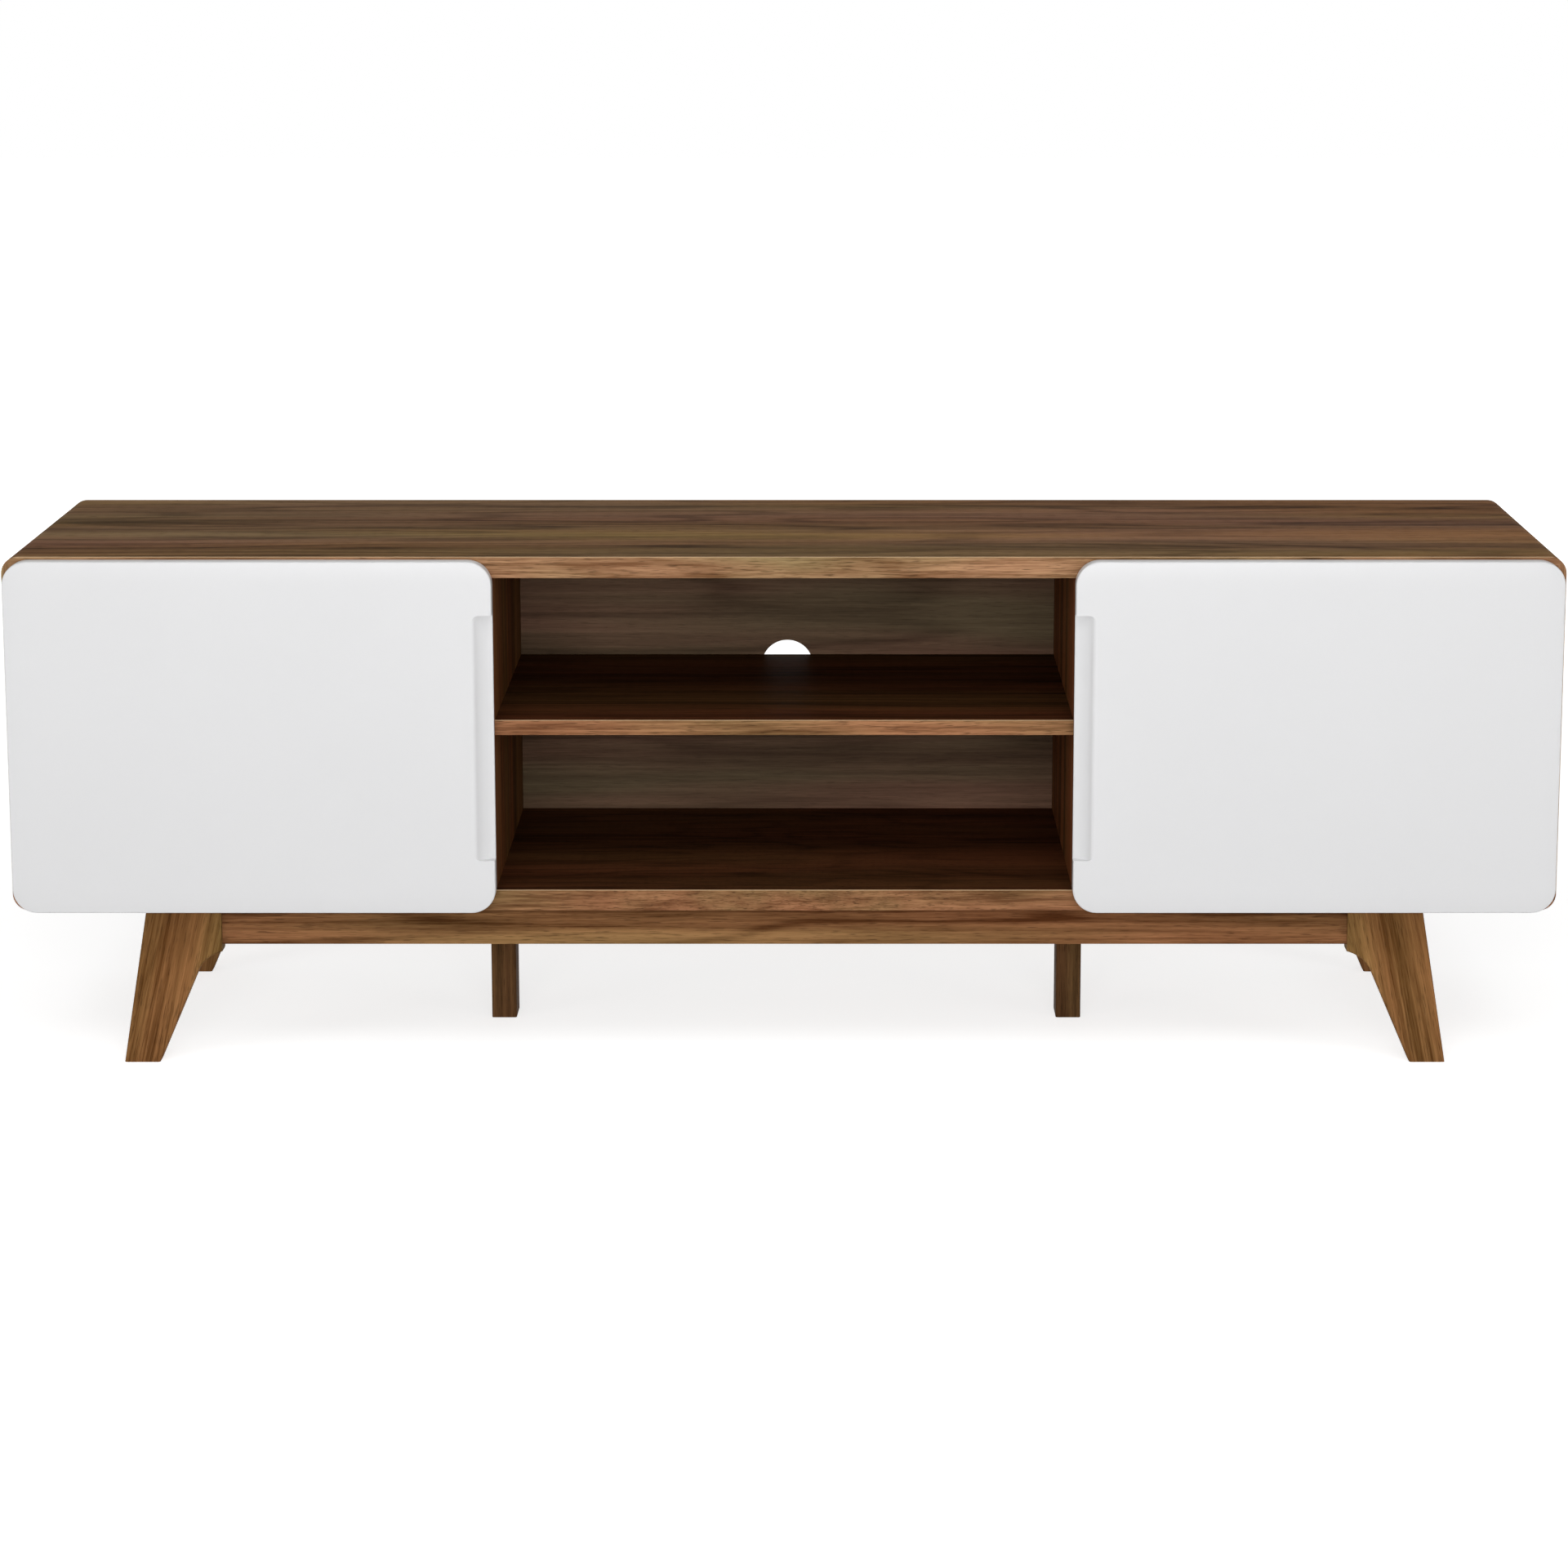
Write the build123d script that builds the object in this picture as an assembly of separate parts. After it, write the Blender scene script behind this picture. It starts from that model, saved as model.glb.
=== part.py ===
from build123d import *
import os
from math import acos, atan, cos, degrees, sin, sqrt

# Media cabinet: a long case with an open, shelved bay between two doors, on a base with splayed legs.
# Millimetres. X runs along the width, Y from front to rear and Z up. The origin is on the floor,
# under the middle of the whole cabinet with its doors shut. Left-hand pieces are modelled at -X and
# the right-hand ones are their mirror images.

# ---------------------------------------------------------------- driving dimensions: the case
width = 1790.0  # over the two sides
case_depth = 375.0  # front edges to rear edges of the boards
board = 25.0  # top and bottom boards
corner_radius = 20.0  # rounded outer corners of the case
arris = 0.8  # eased front edges of the boards
upright = 18.0  # sides and dividers
bay_width = 668.0  # open bay, between the dividers
lower_bay = 181.0  # clear height under the centre shelf
upper_bay = 169.0  # clear height over it
shelf = 18.0
shelf_setback = 12.0  # shelf edge behind the front edges of the case
back_recess = 10.0  # back panels inside the rear edges of the case
back_thickness = 5.0
back_seam = 4.0  # between two back panels, behind a divider
groove_depth = 5.0  # back panels' grooves in the boards and sides
groove_play = 0.4
cable_hole_radius = 32.0
cable_hole_drop = 13.6  # hole's centre under the shelf's upper face

# Loose shelves behind the doors, on pins in drilled rows
inner_shelf = 15.0
inner_shelf_height = 176.0  # its underside over the bottom board
inner_shelf_setback = 30.0
inner_shelf_play = 1.0  # at each end and at the rear
pin_radius = 2.5
pin_reach = 8.0  # how far a pin stands out, and how deep it sits
pin_inset = 50.0  # from the case front, and from the back panel
pin_pitch = 32.0
pin_rows = 5

# ---------------------------------------------------------------- driving dimensions: the doors
door_thickness = 18.0
door_gap = 2.0  # door to front edges of the case
door_reveal = 2.5  # case edge left showing over and under a door
door_side_reveal = 4.5  # and beside it
door_bay_reveal = 1.0  # divider edge left showing in the bay
door_corner = 28.0
pillow_width = 22.0  # band along the edges where the front face curves back
pillow_drop = 1.4
front_edge_radius = 2.0
rear_edge_radius = 2.5
grip_width = 24.0  # finger scoop in the door's inner edge
grip_length = 288.0
grip_depth = 12.8
grip_corner = 9.0
flare_radius = 6.0  # where the scoop leaves the face
scoop_radius = 30.0
lip_radius = 1.5  # where the scoop runs out at the door's edge

# Concealed hinges: a cup in the door turns on a pin carried by an arm on the case side
hinge_inset = 80.0  # hinge centre from the door's end
pivot_inset = 6.5  # pin from the door's outer edge
pivot_depth = 7.0  # pin from the door's rear face
cup_edge = 3.0  # door left between the cup and the outer edge
cup_radius = 17.5
cup_depth = 11.5
cup_wall = 0.8
flange_thickness = 1.0
flange_width = 13.0
cup_screw_offset = 9.5  # screw line from the cup's centre
cup_screw_spacing = 45.0
cup_screw_depth = 10.0  # in the door
pin_wire_radius = 1.2
eye_radius = 2.3
pivot_play = 0.05
arm_thickness = 2.0
tip_half_width = 5.0
ear_thickness = 2.0
ear_play = 0.5
arm_half_width = 8.0
arm_length = 74.0  # from the pin into the case
lip_height = 7.0
lip_thickness = 1.2
plate_thickness = 1.5
plate_setback = 37.0  # plate's screw line behind the case front
plate_length = 38.0
plate_wing = 13.0
plate_screw_spacing = 32.0

# ---------------------------------------------------------------- driving dimensions: the base
base_height = 185.0
leg_thickness = 22.0
leg_setback = 6.0  # legs behind the case edges, front and rear
leg_inset = 153.0  # leg head inside the case side
leg_head_width = 87.0
leg_head_height = 50.0
leg_splay = 30.5  # foot beyond the head, at the outer edge
leg_foot_width = 41.5
leg_lean_inner = 0.43  # sideways per unit of height, inner edge
leg_bend_radius = 44.0
leg_edge_radius = 2.5
apron_height = 43.0
apron_thickness = 18.0
end_rail_thickness = 18.0
end_rail_inset = 8.0  # end rail inside the leg head's outer corner
centre_leg_width = 30.0
centre_leg_depth = 40.0

# ---------------------------------------------------------------- driving dimensions: fastenings
fit = 0.1  # radial play of a fixed dowel, bolt or screw in its hole
cam_radius = 7.5
cam_thickness = 12.5
cam_distance = 34.0  # cam centre from the upright's end
cam_bolt_radius = 3.0
cam_bolt_grip = 11.0  # in the board
fixing_inset = 80.0  # fixing lines from the case front and from the back panel
dowel_radius = 4.0
dowel_in_board = 12.0
dowel_in_upright = 18.0
shelf_dowel_in_divider = 9.0
shelf_dowel_in_shelf = 15.0
frame_dowel_in_rail = 20.0
frame_dowel_in_leg = 13.0
frame_dowel_drops = (14.0, 30.0)  # under the bottom board
small_screw_radius = 1.75
small_head_radius = 3.5
small_head_height = 0.9
small_screw_length = 12.0
arm_screw_setback = 20.0  # from the arm's rear end
back_screw_radius = 1.5
back_head_radius = 5.0
back_head_height = 1.5
back_screw_depth = 14.0
back_screw_inset = 50.0
back_screw_count = 4
base_screw_radius = 2.5
base_head_radius = 4.5
base_head_height = 3.0
base_bore_radius = 5.0
base_bore_depth = 20.0
base_screw_grip = 12.0  # in the bottom board
base_screw_inset = 120.0  # along the end rails and cross rails, from the case edges
apron_screw_middle = 165.0  # inner screws of an apron, from its middle
apron_screw_inset = 145.0  # outer screws, from its ends
hanger_radius = 4.0
hanger_in_leg = 30.0
hanger_in_rail = 25.0
bumper_radius = 4.0
bumper_play = 0.2
bumper_inset = 45.0  # from the boards, up or down the divider's edge

# ---------------------------------------------------------------- places worked out from them
total_depth = case_depth + door_gap + door_thickness
case_rear = total_depth / 2
case_front = case_rear - case_depth
back_front = case_rear - back_recess - back_thickness
door_rear = case_front - door_gap

bottom_top = base_height + board
shelf_under = bottom_top + lower_bay
shelf_top = shelf_under + shelf
top_under = shelf_top + upper_bay
top_face = top_under + board
door_bottom = base_height + door_reveal
door_top = top_face - door_reveal
door_middle = (door_bottom + door_top) / 2
apron_bottom = base_height - apron_height

half_width = width / 2
side_inner = half_width - upright
divider_inner = bay_width / 2
divider_outer = divider_inner + upright
divider_middle = divider_inner + upright / 2
door_outer = half_width - door_side_reveal
door_inner = divider_inner - door_bay_reveal

fixing_ys = (case_front + fixing_inset, back_front - fixing_inset)
dowel_y = sum(fixing_ys) / 2
pin_ys = (case_front + pin_inset, back_front - pin_inset)
inner_shelf_under = bottom_top + inner_shelf_height
pin_z = inner_shelf_under - pin_radius - fit / 2
hinge_zs = (door_bottom + hinge_inset, door_top - hinge_inset)
pivot_x = door_outer - pivot_inset
pivot_y = door_rear - pivot_depth
cup_x = door_outer - cup_edge - cup_radius
cup_screw_x = cup_x - cup_screw_offset
arm_outer = side_inner - plate_thickness
arm_rear = pivot_y + arm_length
leg_head_outer = half_width - leg_inset
leg_head_inner = leg_head_outer - leg_head_width
leg_foot_outer = leg_head_outer + leg_splay
leg_foot_inner = leg_foot_outer - leg_foot_width
apron_screw_xs = (apron_screw_middle, leg_head_inner - apron_screw_inset)
rail_front = case_front + leg_setback + leg_thickness
rail_rear = case_rear - leg_setback - leg_thickness
end_rail_outer = leg_head_outer - end_rail_inset
end_rail_middle = end_rail_outer - end_rail_thickness / 2
leg_middle_y = (case_front + case_rear) / 2
centre_leg_xs = (-divider_middle - centre_leg_width / 2, -divider_middle + centre_leg_width / 2)
frame_dowel_zs = tuple(base_height - drop for drop in frame_dowel_drops)
rail_screw_ys = (case_front + base_screw_inset, case_rear - base_screw_inset)
hair = 1.0  # how far a cutting tool runs past the face that it cuts


# ---------------------------------------------------------------- helpers
def span(xs, ys, zs):
    """Box between three pairs of limits."""
    middle = [sum(pair) / 2 for pair in (xs, ys, zs)]
    size = [max(pair) - min(pair) for pair in (xs, ys, zs)]
    return Pos(*middle) * Box(*size)


def rod(radius, start, end):
    """Round bar from one point to another."""
    along = Vector(*end) - Vector(*start)
    upright_bar = Cylinder(radius, along.length, align=(Align.CENTER, Align.CENTER, Align.MIN))
    return Plane(origin=start, z_dir=along) * upright_bar


def cut(body, tools):
    for tool in tools:
        body -= tool
    return body


def eased(board_body):
    """The board with the edges round its front face eased."""
    return fillet(board_body.edges().group_by(Axis.Y)[0], arris)


def other_side(shape):
    return mirror(shape, about=Plane.YZ)


def with_head(radius, length, head_radius, head_height, seat, direction):
    """Screw whose head stands on its seat, with the shank running from it along the direction."""
    seat, direction = Vector(*seat), Vector(*direction).normalized()
    shank = rod(radius, seat, seat + direction * length)
    return shank + rod(head_radius, seat - direction * head_height, seat)


def write(name, *solids):
    shape = solids[0] if len(solids) == 1 else Compound(children=list(solids))
    shape.label = name
    export_step(shape, f"parts/{name}.step")


def write_pair(kind, left_solids):
    """Left-hand node and its mirror image."""
    write(f"left_{kind}", *left_solids)
    write(f"right_{kind}", *[other_side(solid) for solid in left_solids])


# ---------------------------------------------------------------- fastenings of the case
def cam_bolts(x):
    """Cam bolts of one upright, in both boards."""
    reach = cam_distance - cam_radius - fit
    return [
        rod(cam_bolt_radius, (x, y, face + sign * cam_bolt_grip), (x, y, face - sign * reach))
        for y in fixing_ys
        for face, sign in ((top_under, 1), (bottom_top, -1))
    ]


def upright_dowels(x):
    return [
        rod(dowel_radius, (x, dowel_y, face + in_board), (x, dowel_y, face - in_upright))
        for face, in_board, in_upright in (
            (top_under, dowel_in_board, dowel_in_upright),
            (bottom_top, -dowel_in_board, -dowel_in_upright),
        )
    ]


def fastening_holes(x):
    """Holes for those bolts and dowels, in the upright and in both boards."""
    tools = []
    for face, sign in ((top_under, 1), (bottom_top, -1)):
        for y in fixing_ys:
            top, bottom = face + sign * (cam_bolt_grip + fit), face - sign * cam_distance
            tools.append(rod(cam_bolt_radius + fit, (x, y, top), (x, y, bottom)))
        top, bottom = face + sign * (dowel_in_board + fit), face - sign * (dowel_in_upright + fit)
        tools.append(rod(dowel_radius + fit, (x, dowel_y, top), (x, dowel_y, bottom)))
    return tools


def cams(face_x, into, radius=cam_radius, depth=cam_thickness):
    """Cam locks let into a face of an upright; into is +1 or -1, the way into the board."""
    return [
        rod(radius, (face_x, y, z), (face_x + into * depth, y, z))
        for y in fixing_ys
        for z in (top_under - cam_distance, bottom_top + cam_distance)
    ]


def shelf_dowels(radius=dowel_radius, end_play=0.0):
    """Dowels between the centre shelf and the left divider."""
    z = (shelf_under + shelf_top) / 2
    outer = -divider_inner - shelf_dowel_in_divider - end_play
    inner = -divider_inner + shelf_dowel_in_shelf + end_play
    return [rod(radius, (outer, y, z), (inner, y, z)) for y in fixing_ys]


def pin_holes(face_x, into):
    """Rows of holes for the loose shelf's pins."""
    first = pin_z - pin_pitch * (pin_rows - 1) / 2
    end_x = face_x + into * (pin_reach + fit)
    return [
        rod(pin_radius + fit, (face_x, y, z), (end_x, y, z))
        for y in pin_ys
        for z in [first + row * pin_pitch for row in range(pin_rows)]
    ]


# ---------------------------------------------------------------- the case
left_xs = (-half_width + upright / 2, -divider_middle)
upright_xs = left_xs + tuple(-x for x in left_xs)
boards_holes = [tool for x in upright_xs for tool in fastening_holes(x)]
groove_ys = (back_front, back_front + back_thickness + groove_play)


def outer_board(zs, outer, groove_zs):
    """Top or bottom board, with its outer long corners rounded and the back panels' groove."""
    body = span((-half_width, half_width), (case_front, case_rear), zs)
    body = fillet(body.edges().filter_by(Axis.Y).group_by(Axis.Z)[outer], corner_radius)
    body = eased(body)
    groove_reach = side_inner + groove_depth
    body -= span((-groove_reach, groove_reach), groove_ys, groove_zs)
    return cut(body, boards_holes)


def top_panel():
    return outer_board((top_under, top_face), -1, (top_under - hair, top_under + groove_depth))


def bottom_panel():
    body = outer_board((base_height, bottom_top), 0, (bottom_top - groove_depth, bottom_top + hair))
    return cut(body, base_screws(base_screw_radius + fit, fit, with_heads=False))


def side_panel():
    body = span((-half_width, -side_inner), (case_front, case_rear), (bottom_top, top_under))
    body = fillet(body.edges().filter_by(Axis.Z).group_by(Axis.Y)[0], arris)
    body -= span((-side_inner - groove_depth, -side_inner + hair), groove_ys, (bottom_top, top_under))
    body = cut(body, fastening_holes(left_xs[0]))
    body = cut(body, cams(-side_inner, -1, cam_radius + fit, cam_thickness + fit))
    body = cut(body, pin_holes(-side_inner, -1))
    for z in hinge_zs:
        body = cut(body, plate_screws(z, small_screw_radius + fit, fit, with_heads=False))
    return body


def divider():
    body = span((-divider_outer, -divider_inner), (case_front, back_front), (bottom_top, top_under))
    body = fillet(body.edges().filter_by(Axis.Z).group_by(Axis.Y)[0], arris)
    body = cut(body, fastening_holes(left_xs[1]))
    body = cut(body, cams(-divider_outer, 1, cam_radius + fit, cam_thickness + fit))
    body = cut(body, pin_holes(-divider_outer, 1))
    body = cut(body, shelf_dowels(dowel_radius + fit, fit))
    return cut(body, back_screws(back_screw_radius + fit, fit, with_heads=False))


def centre_shelf():
    ys = (case_front + shelf_setback, back_front)
    body = span((-divider_inner, divider_inner), ys, (shelf_under, shelf_top))
    body = fillet(body.edges().filter_by(Axis.X).group_by(Axis.Y)[0], arris)
    left = shelf_dowels(dowel_radius + fit, fit)
    return cut(body, left + [other_side(tool) for tool in left])


def inner_shelf_board():
    xs = (-side_inner + inner_shelf_play, -divider_outer - inner_shelf_play)
    ys = (case_front + inner_shelf_setback, back_front - inner_shelf_play)
    body = span(xs, ys, (inner_shelf_under, inner_shelf_under + inner_shelf))
    return fillet(body.edges().filter_by(Axis.X).group_by(Axis.Y)[0], arris)


def shelf_pins():
    """Pins under one loose shelf."""
    faces = ((-side_inner, 1), (-divider_outer, -1))
    return [
        rod(pin_radius, (face - out * pin_reach, y, pin_z), (face + out * pin_reach, y, pin_z))
        for face, out in faces
        for y in pin_ys
    ]


back_zs = (bottom_top - groove_depth + groove_play, top_under + groove_depth - groove_play)
back_ys = (back_front, back_front + back_thickness)
seam_outer = divider_middle + back_seam / 2
seam_inner = divider_middle - back_seam / 2


def end_back_panel():
    return span((-side_inner - groove_depth + groove_play, -seam_outer), back_ys, back_zs)


def centre_back_panel():
    hole_z = shelf_top - cable_hole_drop
    body = span((-seam_inner, seam_inner), back_ys, back_zs)
    return body - rod(cable_hole_radius, (0, back_front - hair, hole_z), (0, back_ys[1] + hair, hole_z))


def back_screws(radius=back_screw_radius, end_play=0.0, with_heads=True):
    """Washer-head screws in the seam behind the left divider, which hold both back panels."""
    seat_y = back_ys[1]
    length = back_thickness + back_screw_depth + end_play
    low, high = bottom_top + back_screw_inset, top_under - back_screw_inset
    zs = [low + (high - low) * step / (back_screw_count - 1) for step in range(back_screw_count)]
    if not with_heads:
        return [rod(radius, (-divider_middle, seat_y, z), (-divider_middle, seat_y - length, z)) for z in zs]
    seats = [(-divider_middle, seat_y, z) for z in zs]
    return [with_head(radius, length, back_head_radius, back_head_height, seat, (0, -1, 0)) for seat in seats]


# ---------------------------------------------------------------- the doors
# The door is drawn flat: its own X and Y span the face and its own Z runs from the rear face forward.
door_width = door_outer - door_inner
door_height = door_top - door_bottom
door_plane = Plane(
    origin=(-(door_outer + door_inner) / 2, door_rear, door_middle), x_dir=(1, 0, 0), z_dir=(0, -1, 0)
)


def front_edge_section():
    """Waste outside the front edge: the pillow's large arc runs into the small edge arc.

    Drawn in (distance from the corner arc's centre, height over the rear face).
    """
    pillow_radius = (pillow_width**2 + pillow_drop**2) / (2 * pillow_drop)
    pillow_centre = Vector(door_corner - pillow_width, door_thickness - pillow_radius)
    across = pillow_width - front_edge_radius
    up = sqrt((pillow_radius - front_edge_radius) ** 2 - across**2)
    edge_centre = pillow_centre + Vector(across, up)
    lean = degrees(atan(across / up))
    pillow = CenterArc(pillow_centre, pillow_radius, 90 - lean, lean)
    edge = CenterArc(edge_centre, front_edge_radius, 0, 90 - lean)
    outside, above = door_corner + hair, door_thickness + hair
    flat_end = door_corner - pillow_width
    rest = Polyline(edge @ 0, (outside, edge_centre.Y), (outside, above), (flat_end, above), pillow @ 1)
    return make_face(pillow + edge + rest)


def rear_edge_section():
    inner, outer = door_corner - rear_edge_radius, door_corner + hair
    edge = CenterArc((inner, rear_edge_radius), rear_edge_radius, 270, 90)
    rest = Polyline(edge @ 1, (outer, rear_edge_radius), (outer, -hair), (inner, -hair), edge @ 0)
    return make_face(edge + rest)


def edge_ring(section):
    """The section carried round the door's outline, as four straight runs and four corners."""
    flat_x, flat_y = door_width / 2 - door_corner, door_height / 2 - door_corner
    corners = ((flat_x, flat_y), (-flat_x, flat_y), (-flat_x, -flat_y), (flat_x, -flat_y))
    standing = Plane.XZ * section
    pieces = []
    for turn, corner in enumerate(corners):
        run = 2 * (flat_y, flat_x)[turn % 2]
        at_corner = Pos(*corner, 0) * Rot(0, 0, 90 * turn)
        pieces.append(at_corner * revolve(standing, Axis.Z, 90))
        pieces.append(at_corner * extrude(standing, run, dir=(0, -1, 0)))
    return pieces


def grip_waste():
    """Finger scoop at the door's inner edge: flared arc, hollow arc and soft lip, under a round-ended outline."""
    turn = acos(1 - grip_depth / (flare_radius + scoop_radius))
    edge_x, above = door_width / 2, door_thickness + hair
    flare_x = edge_x - grip_width
    flare_centre = (flare_x, door_thickness - flare_radius)
    scoop_x = flare_x + (flare_radius + scoop_radius) * sin(turn)
    scoop_y = door_thickness - grip_depth + scoop_radius
    lip_x = edge_x - lip_radius
    lip_turn = acos((scoop_x - lip_x) / (scoop_radius + lip_radius))
    lip_y = scoop_y - (scoop_radius + lip_radius) * sin(lip_turn)
    flare = CenterArc(flare_centre, flare_radius, 90 - degrees(turn), degrees(turn))
    scoop_start = 270 - degrees(turn)
    scoop = CenterArc((scoop_x, scoop_y), scoop_radius, scoop_start, 180 + degrees(lip_turn) - scoop_start)
    lip = CenterArc((lip_x, lip_y), lip_radius, 0, degrees(lip_turn))
    past_edge = edge_x + hair
    rest = Polyline(lip @ 0, (past_edge, lip_y), (past_edge, above), (flare_x, above), flare @ 1)
    section = Plane.XZ * make_face(flare + scoop + lip + rest)
    hollow = Pos(0, -grip_length / 2, 0) * extrude(section, grip_length, dir=(0, 1, 0))
    outline = extrude(RectangleRounded(2 * grip_width, grip_length, grip_corner), above)
    return hollow & (Pos(edge_x, 0, 0) * outline)


def door():
    body = extrude(RectangleRounded(door_width, door_height, door_corner), door_thickness)
    body = cut(body, edge_ring(front_edge_section()) + edge_ring(rear_edge_section()))
    body = door_plane * (body - grip_waste())
    for z in hinge_zs:
        body -= rod(cup_radius, (-cup_x, door_rear + hair, z), (-cup_x, door_rear - cup_depth, z))
        body = cut(body, cup_screws(z, small_screw_radius + fit, fit, with_heads=False))
    return body


# ---------------------------------------------------------------- the hinges
def along_pivot(radius, z, reach):
    """Round bar on the hinge's axis, as far up as down from the hinge's middle."""
    return rod(radius, (-pivot_x, pivot_y, z - reach), (-pivot_x, pivot_y, z + reach))


def hinge_cup(z):
    """Cup with its flange, ears for the pin and a notch that lets the arm swing out."""
    outer, inner = cup_radius - fit, cup_radius - fit - cup_wall
    floor_y = door_rear - cup_depth + fit
    flange_rear = door_rear + flange_thickness
    body = rod(outer, (-cup_x, door_rear, z), (-cup_x, floor_y, z))
    wing = SlotCenterToCenter(cup_screw_spacing, flange_width, rotation=90)
    rim = Circle(cup_radius + fit)
    flange = extrude(Pos(-cup_screw_x + cup_x, 0) * wing + rim, flange_thickness)
    body += Plane(origin=(-cup_x, flange_rear, z), x_dir=(1, 0, 0), z_dir=(0, -1, 0)) * flange
    body -= rod(inner, (-cup_x, flange_rear + hair, z), (-cup_x, floor_y + cup_wall, z))
    ear_xs = (-pivot_x - eye_radius, -pivot_x + eye_radius)
    ear_ys = (floor_y + cup_wall, pivot_y + eye_radius)
    ear_start = tip_half_width + ear_play
    filled = rod(outer, (-cup_x, door_rear, z), (-cup_x, floor_y, z))
    for sign in (1, -1):
        ear = span(ear_xs, ear_ys, (z + sign * ear_start, z + sign * (cup_radius)))
        body += ear & filled
    body -= along_pivot(pin_wire_radius + fit / 2, z, ear_start + ear_thickness)
    notch_x = -pivot_x - eye_radius - fit
    arm_ys = (pivot_y - eye_radius, flange_rear + hair)
    arm_path = span((notch_x - cup_radius, -pivot_x), arm_ys, (z - ear_start, z + ear_start))
    outer_xs, flange_ys = (-door_outer, -pivot_x - eye_radius), (door_rear, flange_rear + hair)
    flange_end = span(outer_xs, flange_ys, (z - cup_radius, z + cup_radius))
    screw_holes = cup_screws(z, small_screw_radius + fit, fit, with_heads=False)
    return cut(body, [arm_path, flange_end] + screw_holes)


def hinge_pin(z):
    return along_pivot(pin_wire_radius, z, tip_half_width + ear_play + ear_thickness - fit)


def hinge_arm(z):
    """Pressed arm: an eye on the pin, a flat tip inside the cup, and a channel on the plate."""
    eye = along_pivot(eye_radius, z, tip_half_width)
    tip_zs = (z - tip_half_width, z + tip_half_width)
    arm_xs = (-arm_outer, -arm_outer + arm_thickness)
    tip = span((-pivot_x, arm_xs[1]), (pivot_y - arm_thickness / 2, pivot_y + arm_thickness / 2), tip_zs)
    neck = span(arm_xs, (pivot_y - arm_thickness / 2, arm_rear), tip_zs)
    channel_ys = (case_front + leg_setback, arm_rear)
    channel = span(arm_xs, channel_ys, (z - arm_half_width, z + arm_half_width))
    body = eye + tip + neck + channel
    for sign in (1, -1):
        lip_zs = (z + sign * (arm_half_width - lip_thickness), z + sign * arm_half_width)
        body += span((-arm_outer, -arm_outer + lip_height), channel_ys, lip_zs)
    body -= along_pivot(pin_wire_radius + pivot_play, z, arm_half_width)
    return cut(body, plate_screws(z, small_screw_radius + fit, fit, with_heads=False))


def hinge_plate(z):
    """Cross-shaped plate between the arm and the case side."""
    xs = (-side_inner, -arm_outer)
    screw_y = case_front + plate_setback
    body = span(xs, (arm_rear - plate_length, arm_rear), (z - arm_half_width, z + arm_half_width))
    wing_reach = plate_screw_spacing / 2 + plate_wing / 2
    body += span(xs, (screw_y - plate_wing / 2, screw_y + plate_wing / 2), (z - wing_reach, z + wing_reach))
    upright_edges = body.edges().filter_by(Axis.X)
    wing_ends = [edge for edge in upright_edges if abs(edge.center().Z - z) > wing_reach - hair]
    body = fillet(wing_ends, plate_wing / 3)
    return cut(body, plate_screws(z, small_screw_radius + fit, fit, with_heads=False))


def plate_screws(z, radius=small_screw_radius, end_play=0.0, with_heads=True):
    """Two screws in the plate's wings and one through the arm, all into the case side."""
    length = small_screw_length + end_play
    wing_y, arm_y = case_front + plate_setback, arm_rear - arm_screw_setback
    offset = plate_screw_spacing / 2
    seats = [(-arm_outer, wing_y, z + side) for side in (-offset, offset)]
    seats.append((-arm_outer + arm_thickness, arm_y, z))
    if not with_heads:
        return [rod(radius, seat, (seat[0] - length, seat[1], seat[2])) for seat in seats]
    return [
        with_head(radius, length, small_head_radius, small_head_height, seat, (-1, 0, 0)) for seat in seats
    ]


def cup_screws(z, radius=small_screw_radius, end_play=0.0, with_heads=True):
    """Two screws through the cup's flange into the door."""
    length = flange_thickness + cup_screw_depth + end_play
    seat_y = door_rear + flange_thickness
    seats = [(-cup_screw_x, seat_y, z + sign * cup_screw_spacing / 2) for sign in (-1, 1)]
    if not with_heads:
        return [rod(radius, seat, (seat[0], seat_y - length, seat[2])) for seat in seats]
    return [
        with_head(radius, length, small_head_radius, small_head_height, seat, (0, -1, 0)) for seat in seats
    ]


def door_bumpers():
    """Soft pads on the divider's front edge, which the shut door rests against."""
    x, front_y = -divider_middle, door_rear + bumper_play
    zs = (bottom_top + bumper_inset, top_under - bumper_inset)
    return [rod(bumper_radius, (x, case_front, z), (x, front_y, z)) for z in zs]


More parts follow.
